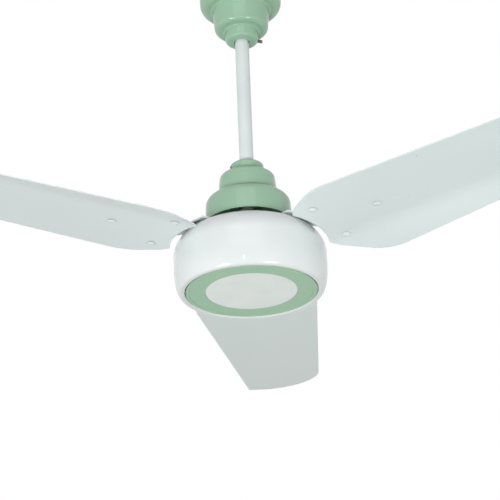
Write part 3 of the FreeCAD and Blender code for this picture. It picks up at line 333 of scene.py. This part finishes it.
def makeFinish(name, look):
    material = bpy.data.materials.new(name)
    material.use_nodes = True
    tree = material.node_tree
    shader = tree.nodes["Principled BSDF"]
    for socket, value in look["values"].items():
        shader.inputs[socket].default_value = value
    place = addNode(tree, "TexCoord").outputs["Object"]
    drift = addNode(tree, "TexNoise", {"Scale": 1000 / look["driftMm"], "Detail": driftSet["detail"]},
                    {"Vector": place})
    low, high = look["tones"]
    share = addNode(tree, "MapRange", {"interpolation_type": "SMOOTHSTEP", "From Min": driftSet["low"],
                                       "From Max": driftSet["high"]}, {"Value": drift.outputs["Fac"]})
    tone = addNode(tree, "Mix", {"data_type": "RGBA", mixLow: linear(low), mixHigh: linear(high)},
                   {mixFactor: share.outputs[0]}).outputs[mixOut]
    gloss = addNode(tree, "MapRange", {"To Min": look["gloss"][0], "To Max": look["gloss"][1]},
                    {"Value": share.outputs[0]})
    grain = addNode(tree, "TexNoise", {"Scale": 1000 / look["grainMm"], "Detail": look["grainDetail"]},
                    {"Vector": place})
    relief = addNode(tree, "Bump", {"Strength": 1.0, "Distance": look["grainDepthMm"] * mm},
                     {"Height": grain.outputs["Fac"]})
    if "nibs" in look:
        # a dark speck where the surface passes close to a cell's point
        nibs = look["nibs"]
        cells = addNode(tree, "TexVoronoi", {"Scale": 1000 / nibs["spacingMm"]}, {"Vector": place})
        reach = nibs["radiusMm"] / nibs["spacingMm"]
        dot = addNode(tree, "MapRange", {"From Min": reach, "From Max": reach * nibCore},
                      {"Value": cells.outputs["Distance"]})
        tone = addNode(tree, "Mix", {"data_type": "RGBA", mixHigh: linear(nibs["colour"])},
                       {mixFactor: dot.outputs[0], mixLow: tone}).outputs[mixOut]
    if "edge" in look:
        # a thin grey line of painted shade under a rivet head's edge, from the piece's own edge attribute
        line = addNode(tree, "Attribute", {"attribute_name": "edge"})
        tone = addNode(tree, "Mix", {"data_type": "RGBA", mixHigh: linear(look["edge"])},
                       {mixFactor: line.outputs["Fac"], mixLow: tone}).outputs[mixOut]
    for kind, waveType in (("rings", "RINGS"), ("sheets", "BANDS")):
        if kind in look:
            # rings round Z or level sheets; a wave's crest and its trough take one pitch each
            lines = look[kind]
            scale = waveSpan * 1000 / lines["pitchMm"] / 2
            wave = addNode(tree, "TexWave", {"wave_type": waveType, "bands_direction": "Z",
                                             "rings_direction": "Z", "Scale": scale, "Distortion": 0.0},
                           {"Vector": place})
            relief = addNode(tree, "Bump", {"Strength": 1.0, "Distance": lines["depthMm"] * mm},
                             {"Height": wave.outputs["Fac"], "Normal": relief.outputs[0]})
    tree.links.new(tone, shader.inputs["Base Color"])
    tree.links.new(gloss.outputs[0], shader.inputs["Roughness"])
    tree.links.new(relief.outputs[0], shader.inputs["Normal"])
    return material


materials = {name: makeFinish(name, look) for name, look in looks.items()}
# a solid takes the first finish that is listed for its slot
slotFinish = {look["slot"]: name for name, look in reversed(looks.items())}
for subpart in frame["record"]["subparts"]:
    mesh = nodes[subpart["node"]].data
    mesh.materials.clear()
    mesh.materials.append(materials[slotFinish[subpart["material_slot"]]])
print("materials:", len(materials))


# doubles merge within mergeReach metres, and edges past sharpDegrees stay crisp
meshSet = {"mergeReach": 2e-6, "sharpDegrees": 40.0}
tiny = 1e-9                  # keeps a division clear of zero


def gridPiece(name, points, material, closeRows=False, closeCols=True, shell=True, edge=None):
    # points[copy, row, column] become quads; a closed grid joins its last row or column to the first
    # a shell's normals are turned outwards once its doubles are merged; an open sheet keeps its own
    copies, rows, cols = points.shape[:3]
    i = np.arange(rows if closeRows else rows - 1)[:, None]
    j = np.arange(cols if closeCols else cols - 1)[None, :]
    nextRow, nextCol = (i + 1) % rows, (j + 1) % cols
    quad = np.stack([i * cols + j, i * cols + nextCol, nextRow * cols + nextCol, nextRow * cols + j], -1)
    faces = quad.reshape(1, -1, 4) + (np.arange(copies) * rows * cols)[:, None, None]
    mesh = bpy.data.meshes.new(name)
    mesh.from_pydata(points.reshape(-1, 3).tolist(), [], faces.reshape(-1, 4).tolist())
    # edge marks the points that take a painted shade line
    if edge is not None:
        mark = mesh.attributes.new("edge", "FLOAT", "POINT")
        mark.data.foreach_set("value", np.broadcast_to(edge, points.shape[:3]).astype(np.float32).ravel())
    work = bmesh.new()
    work.from_mesh(mesh)
    bmesh.ops.remove_doubles(work, verts=work.verts, dist=meshSet["mergeReach"])
    if shell:
        bmesh.ops.recalc_face_normals(work, faces=work.faces)
    work.to_mesh(mesh)
    work.free()
    mesh.shade_smooth()
    mesh.set_sharp_from_angle(angle=math.radians(meshSet["sharpDegrees"]))
    mesh.materials.append(materials[material])
    piece = bpy.data.objects.new(name, mesh)
    bpy.context.scene.collection.objects.link(piece)
    return piece


def roundedLine(corners, steps):
    # each corner (x, y, radius) of a closed line becomes an arc that touches both of its sides
    given = np.array([(*corner, 0.0)[:3] for corner in corners])
    point, radius = given[:, :2], given[:, 2:]
    back, ahead = np.roll(point, 1, 0) - point, np.roll(point, -1, 0) - point
    back /= np.linalg.norm(back, axis=1, keepdims=True)
    ahead /= np.linalg.norm(ahead, axis=1, keepdims=True)
    half = np.arccos(np.clip((back * ahead).sum(1, keepdims=True), -1, 1)) / 2
    middle = back + ahead
    middle /= np.maximum(np.linalg.norm(middle, axis=1, keepdims=True), tiny)
    centre = point + middle * radius / np.sin(half)
    start = point + back * radius / np.tan(half) - centre
    end = point + ahead * radius / np.tan(half) - centre
    sweep = np.maximum(math.pi - 2 * half, tiny)[:, None]
    s = np.linspace(0, 1, steps)[None, :, None]
    arc = (np.sin((1 - s) * sweep) * start[:, None] + np.sin(s * sweep) * end[:, None]) / np.sin(sweep)
    return (centre[:, None] + arc).reshape(-1, 2)


def turned(profile, count):
    # every (radius, height) of the profile goes once round the Z axis
    angle = np.arange(count) / count * 2 * math.pi
    radius, height = profile[:, :1], profile[:, 1:]
    return np.stack([radius * np.cos(angle), radius * np.sin(angle), height + 0 * angle], -1)


def placed(points, matrix):
    # the points in millimetres, carried by a 4 x 4 matrix and turned to metres
    matrix = np.array(matrix)
    return (points @ matrix[:3, :3].T + matrix[:3, 3]) * mm


def spun(axis, degrees):
    return Matrix.Rotation(math.radians(degrees), 4, axis)


def moved(x, y, z):
    return Matrix.Translation((x, y, z))


# canopies: one spun steel shell used both ways up, with soft creases between its three tiers
# radii, heights and roundings in millimetres
canopySet = {
    "rim": 60.8, "wide": 59.0, "wideHeight": 40.0, "wideRound": 12.2,
    "midBase": 42.0, "mid": 38.6, "shoulder": 75.2, "midRound": 7.2,
    "collarBase": 24.4, "collar": 23.6, "top": 93.0, "collarRound": 5.0,
    "bore": 11.1, "wall": 1.2, "crease": 3.6, "lip": 0.5,
    "ceilingRim": 34.6, "motorRim": -351.0, "arcSteps": 12, "count": 160,
}


def makeCanopies(c):
    # one closed line, up the outside and down the inside with each corner rounded, turned round the rod
    w, lip, crease = c["wall"], c["lip"], c["crease"]
    profile = roundedLine([
        (c["rim"], 0, lip), (c["wide"], c["wideHeight"], c["wideRound"]),
        (c["midBase"], c["wideHeight"], crease), (c["mid"], c["shoulder"], c["midRound"]),
        (c["collarBase"], c["shoulder"], crease), (c["collar"], c["top"], c["collarRound"]),
        (c["bore"], c["top"], lip), (c["bore"], c["shoulder"] - w, lip),
        (c["mid"] - w, c["shoulder"] - w, c["midRound"] - w),
        (c["midBase"] - w, c["wideHeight"] - w, crease + w),
        (c["wide"] - w, c["wideHeight"] - w, c["wideRound"] - w), (c["rim"] - w, 0, lip),
    ], c["arcSteps"])
    shell = turned(profile, c["count"])
    for node, body, place in (
        ("ceiling_canopy", "ceiling_cover", moved(0, 0, c["ceilingRim"]) @ spun("X", 180)),
        ("motor_canopy", "motor_cover", moved(0, 0, c["motorRim"])),
    ):
        piece = gridPiece(node + "Shell", placed(shell, place)[None], "sagePaint", closeRows=True)
        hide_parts(node)
        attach(piece, body)


makeCanopies(canopySet)
print("canopies made")


# drum: one deep steel pressing with a rolled lip, a bowl that swells into the wall and a wide shoulder
# in millimetres; the pulls, lipFlare and lipEase say how far each curve is drawn out before it turns
drumSet = {
    "base": -453.2, "mouth": 91.3, "radius": 105.7, "height": 87.2, "wall": 3.0,
    "lipLow": 96.2, "lipRise": 2.0, "lipFlare": 0.8, "lipEase": 0.35, "lipPull": 2.4,
    "bowlPull": 5.0, "bowlRise": 12.5, "bowlHeight": 36.0, "shoulder": 34.0,
    "hole": 9.0, "bearingLip": 6.0, "seat": 17.5, "bearingWidth": 11.0, "hub": 21.5,
    "skirt": 79.05, "skirtWall": 3.0, "skirtEnd": 23.2,
    "lipSteps": 14, "bowlSteps": 30, "shoulderSteps": 28, "insideSteps": 20, "count": 192,
}


def pulledCurve(ends, count):
    # a cubic curve from the first point to the last, pulled by the two points between them
    t = np.linspace(0, 1, count)[:, None]
    a, b, c, d = np.array(ends, float)
    return (1 - t) ** 3 * a + 3 * (1 - t) ** 2 * t * b + 3 * (1 - t) * t ** 2 * c + t ** 3 * d


def makeDrum(d):
    # up the outside by the lip's and the bowl's curves and the shoulder's quarter circle to the shaft hole,
    # then back inside round the bearing seat and the skirt, and by the same curves one wall further in
    wall, low, wide = d["wall"], d["lipLow"], d["radius"]
    centre = np.array([wide - d["shoulder"], d["height"] - d["shoulder"]])
    inside, skirtOut = d["shoulder"] - wall, d["skirt"] + d["skirtWall"]
    turn = np.linspace(0, math.pi / 2, d["shoulderSteps"])[:, None]
    back = np.linspace(math.acos((skirtOut - centre[0]) / inside), 0, d["insideSteps"])[:, None]
    seatTop = d["height"] - d["bearingLip"]
    seatLow = seatTop - d["bearingWidth"]
    skirtTop = centre[1] + math.sqrt(inside ** 2 - (d["skirt"] - centre[0]) ** 2)
    profile = np.concatenate([
        pulledCurve([(d["mouth"], d["lipRise"]), (d["mouth"] + d["lipFlare"], d["lipRise"] * d["lipEase"]),
                     (low - d["lipPull"], 0), (low, 0)], d["lipSteps"]),
        pulledCurve([(low, 0), (low + d["bowlPull"], 0), (wide, d["bowlRise"]), (wide, d["bowlHeight"])],
                    d["bowlSteps"]),
        centre + d["shoulder"] * np.hstack([np.cos(turn), np.sin(turn)]),
        [(d["hole"], d["height"]), (d["hole"], seatTop), (d["seat"], seatTop), (d["seat"], seatLow),
         (d["hub"], seatLow), (d["hub"], d["height"] - wall), (centre[0], d["height"] - wall),
         (d["skirt"], skirtTop), (d["skirt"], d["skirtEnd"]), (skirtOut, d["skirtEnd"])],
        centre + inside * np.hstack([np.cos(back), np.sin(back)]),
        pulledCurve([(wide - wall, d["bowlHeight"]), (wide - wall, d["bowlRise"] + wall),
                     (low + d["bowlPull"], wall), (low, wall)], d["insideSteps"]),
        [(d["mouth"], wall)],
    ])
    drum = gridPiece("drumShell", placed(turned(profile, d["count"]), moved(0, 0, d["base"]))[None],
                     "stovedEnamel", closeRows=True)
    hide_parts("motor_housing")
    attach(drum, "rotor")


makeDrum(drumSet)
print("drum made")


# screws: a line of (radius, height) turned round Z, a thread wound into the shank
# and a slot cut across the end; in millimetres and degrees
canopyScrewSet = {
    "radius": 2.5, "pitch": 0.8, "depth": 0.42, "chamfer": 0.6, "inner": 10.3,
    "plainEnd": 2.2, "fadeOut": 0.8, "fadeIn": 0.4,     # where the thread runs out at both ends
    "slotHalf": 0.5, "slotDepth": 1.3, "pitchSteps": 10, "capSteps": 14, "count": 64,
    "ceiling": {"length": 21.7, "height": -51.4, "yaw": 25.0},
    "motor": {"length": 14.3, "height": -265.0, "yaw": 205.0},
}
ironScrewSet = {
    "radius": 2.5, "head": 4.7, "headRim": 1.5, "headHeight": 2.95, "length": 9.0,
    "slotHalf": 0.6, "slotDepth": 1.3, "slotTurn": 35, "domeSteps": 14, "count": 64,
    "ringRadius": 63.0, "offset": 15.0, "height": -363.5, "yaws": (90, 210, 330),
}


def slotted(points, s, top):
    # points near the middle plane sink to the slot's floor
    inSlot = (np.abs(points[..., 0]) < s["slotHalf"]) & (points[..., 2] > top - s["slotDepth"])
    points[..., 2] = np.where(inSlot, top - s["slotDepth"], points[..., 2])
    return points


def canopyScrew(s, length):
    # up the shank at one radius, then in to the middle of the flat end
    r, chamfer = s["radius"], s["chamfer"]
    shankSteps = int((length - 2 * chamfer) / s["pitch"] * s["pitchSteps"])
    shank = np.linspace(chamfer, length - chamfer, shankSteps)
    cap = np.linspace(r - chamfer, 0, s["capSteps"])
    radius = np.concatenate([[0, r - chamfer], r + 0 * shank, cap])
    height = np.concatenate([[0, 0], shank, length + 0 * cap])
    points = turned(np.stack([radius, height], 1), s["count"])
    # the thread: a cosine groove that climbs one pitch in each turn and fades at both ends
    turnShare = np.arange(s["count"]) / s["count"]
    groove = (0.5 - 0.5 * np.cos(2 * math.pi * (height[:, None] / s["pitch"] - turnShare))) * s["depth"]
    fadeOut = np.clip((length - s["plainEnd"] - height) / s["fadeOut"], 0, 1)
    fadeIn = np.clip((height - chamfer) / s["fadeIn"], 0, 1)
    groove *= (fadeOut * fadeIn * (radius >= r))[:, None]
    points[..., :2] *= (1 - groove / r)[..., None]
    return slotted(points, s, length)


def makeCanopyScrews(s):
    for which, node, body in (("ceiling", "ceiling_canopy_screw", "ceiling_cover"),
                              ("motor", "motor_canopy_screw", "motor_cover")):
        one = s[which]
        place = spun("Z", one["yaw"]) @ moved(s["inner"], 0, one["height"]) @ spun("Y", 90)
        points = placed(canopyScrew(s, one["length"]), place)
        piece = gridPiece(node + "Thread", points[None], "blackenedSteel")
        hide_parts(node)
        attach(piece, body)


def makeIronScrews(s):
    # pan heads: an upright rim, then a flat dome, a quarter of an ellipse, up to the middle
    t = np.linspace(0, 1, s["domeSteps"])
    domeRadius = s["head"] * np.cos(t * math.pi / 2)
    domeHeight = s["headRim"] + (s["headHeight"] - s["headRim"]) * np.sin(t * math.pi / 2)
    profile = np.concatenate([
        [(0, -s["length"]), (s["radius"], -s["length"]), (s["radius"], 0), (s["head"], 0)],
        np.stack([domeRadius, domeHeight], 1),
    ])
    one = slotted(turned(profile, s["count"]), s, s["headHeight"])
    spots = [
        spun("Z", yaw) @ moved(s["ringRadius"], side * s["offset"], s["height"])
        @ spun("Z", s["slotTurn"] * side + yaw)
        for yaw in s["yaws"] for side in (1, -1)
    ]
    points = np.stack([placed(one, spot) for spot in spots])
    piece = gridPiece("ironScrewHeads", points, "zincPlate")
    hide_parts("iron_screws")
    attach(piece, "rotor")


makeCanopyScrews(canopyScrewSet)
makeIronScrews(ironScrewSet)
print("screws made")


# blades: a flat sheet with its trailing side bent down, pitched about its length and sloped up to the tip
# corners are (along, across, rounding) in millimetres, angles in degrees
bladeSet = {
    "corners": [
        (101.0, -46.0), (109.5, -57.5, 12.0), (152.5, -86.2, 75.0), (712.9, -67.7, 80.0),
        (712.9, 37.0, 45.0), (693.6, 54.8), (166.0, 98.9, 75.0), (109.5, 57.5, 12.0), (101.0, 46.0),
    ],
    "rootRadius": 111.0, "bendStart": 31.48, "bendRadius": 107.0, "bendAngle": 14.3,
    "thickness": 1.2, "edgeRound": 0.4, "edgeSegments": 2, "edgeAngle": 50,
    "centreHeight": -393.6, "cone": 4.14, "pitch": 3.5,
    "yaws": (90, 210, 330), "along": 120, "across": 60, "arcSteps": 25,
}
rivetSet = {
    "spots": [(130.6, -42.2), (130.6, 42.2), (205.0, 0.0)],
    "head": 6.2, "headRim": 0.9, "headHeight": 2.55, "gap": 0.3, "shank": 2.5,
    "stack": 4.05, "tail": 4.5, "tailRim": 1.0, "tailHeight": 2.0, "chamfer": 0.3,
    "tailRound": 0.75, "tailFlat": 0.4,      # shares of the tail's radius
    "lineMargin": 0.05, "domeSteps": 16, "count": 64,
}


def bladeFrame(b, yaw):
    # pitched about its length, sloped up to the tip, then turned to its place round the drum
    return moved(0, 0, b["centreHeight"]) @ spun("Z", yaw) @ spun("Y", -b["cone"]) @ spun("X", -b["pitch"])


def sheetHeight(b, y):
    # level up to the bend, then an arc that turns down, then straight on at the bend's angle
    angle = math.radians(b["bendAngle"])
    run = np.clip(y - b["bendStart"], 0, b["bendRadius"] * math.sin(angle))
    past = np.maximum(y - b["bendStart"] - b["bendRadius"] * math.sin(angle), 0)
    return np.sqrt(b["bendRadius"] ** 2 - run ** 2) - b["bendRadius"] - past * math.tan(angle)


def sheetLean(b, y):
    # degrees by which the sheet has turned down at y, along the bend's arc
    return math.degrees(math.asin(min(max(y - b["bendStart"], 0) / b["bendRadius"], 1)))


def resampled(line, count):
    # the same line with its points an even distance apart
    step = np.linalg.norm(np.diff(line, axis=0), axis=1)
    length = np.concatenate([[0], np.cumsum(step)])
    even = np.linspace(0, length[-1], count)
    return np.stack([np.interp(even, length, line[:, 0]), np.interp(even, length, line[:, 1])], 1)


def bladeSheet(b):
    # a Coons patch: the outline's four sides, blended linearly across each other
    rim = roundedLine(b["corners"], b["arcSteps"])
    n, half = b["arcSteps"], b["arcSteps"] // 2
    leading = resampled(rim[:3 * n + half + 1], b["along"])
    tip = resampled(rim[3 * n + half:4 * n + half + 1], b["across"])
    trailing = resampled(rim[4 * n + half:][::-1], b["along"])
    rootHalf = math.asin(b["corners"][-1][1] / b["rootRadius"])
    turn = np.linspace(-rootHalf, rootHalf, b["across"])
    root = b["rootRadius"] * np.stack([np.cos(turn), np.sin(turn)], 1)
    u = np.linspace(0, 1, b["along"])[:, None, None]
    v = np.linspace(0, 1, b["across"])[None, :, None]
    plan = ((1 - v) * leading[:, None] + v * trailing[:, None] + (1 - u) * root[None] + u * tip[None]
            - (1 - u) * (1 - v) * root[0] - (1 - u) * v * root[-1] - u * (1 - v) * tip[0] - u * v * tip[-1])
    return np.concatenate([plan, sheetHeight(b, plan[..., 1:])], -1)


def rivetSurface(r):
    # a low dome cut from a ball under the blade, the shank through both sheets
    # and a flattened end on the iron
    t = np.linspace(0, 1, r["domeSteps"])
    ball = (r["head"] ** 2 + (r["headHeight"] - r["headRim"]) ** 2) / (2 * (r["headHeight"] - r["headRim"]))
    dome = r["head"] * t
    domeHeight = -r["headHeight"] + ball - np.sqrt(ball ** 2 - dome ** 2)
    top, cut = r["stack"] + r["tailHeight"], r["chamfer"]
    profile = np.concatenate([
        np.stack([dome, domeHeight], 1),
        [(r["head"], -r["gap"] - cut), (r["head"] - cut, -r["gap"]), (r["shank"], -r["gap"]),
         (r["shank"], r["stack"]), (r["tail"] - cut, r["stack"]), (r["tail"], r["stack"] + cut),
         (r["tail"], r["stack"] + r["tailRim"]), (r["tail"] * r["tailRound"], top - cut),
         (r["tail"] * r["tailFlat"], top), (0, top)],
    ])
    # the head's rim, just under its edge, is marked for the painted shade line
    edge = (profile[:, 1] > -r["headRim"] - r["lineMargin"]) & (profile[:, 1] < 0)
    return turned(profile, r["count"]), edge[:, None]


def makeBlades(b, r):
    # one sheet, thickened with its edges softened, at three turns; its rivets stand square to it
    sheet = bladeSheet(b)
    rivet, edge = rivetSurface(r)
    for number, yaw in enumerate(b["yaws"], start=1):
        place = bladeFrame(b, yaw)
        blade = gridPiece(f"bladeSheet{number}", placed(sheet, place)[None], "bladeEnamel",
                          closeCols=False, shell=False)
        wall = blade.modifiers.new("thickness", "SOLIDIFY")
        wall.thickness = b["thickness"] * mm
        wall.offset = -1.0
        soften = blade.modifiers.new("edge", "BEVEL")
        soften.width = b["edgeRound"] * mm
        soften.segments = b["edgeSegments"]
        soften.limit_method = "ANGLE"
        soften.angle_limit = math.radians(b["edgeAngle"])
        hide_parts(f"blade_{number}")
        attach(blade, "rotor")
        spots = [
            place @ moved(x, y, float(sheetHeight(b, np.array(y)))) @ spun("X", -sheetLean(b, y))
            for x, y in r["spots"]
        ]
        heads = gridPiece(f"bladeRivetHeads{number}", np.stack([placed(rivet, spot) for spot in spots]),
                          "rivetEnamel", edge=edge)
        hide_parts(f"blade_rivets_{number}")
        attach(heads, "rotor")


makeBlades(bladeSet, rivetSet)
print("blades and rivets made")
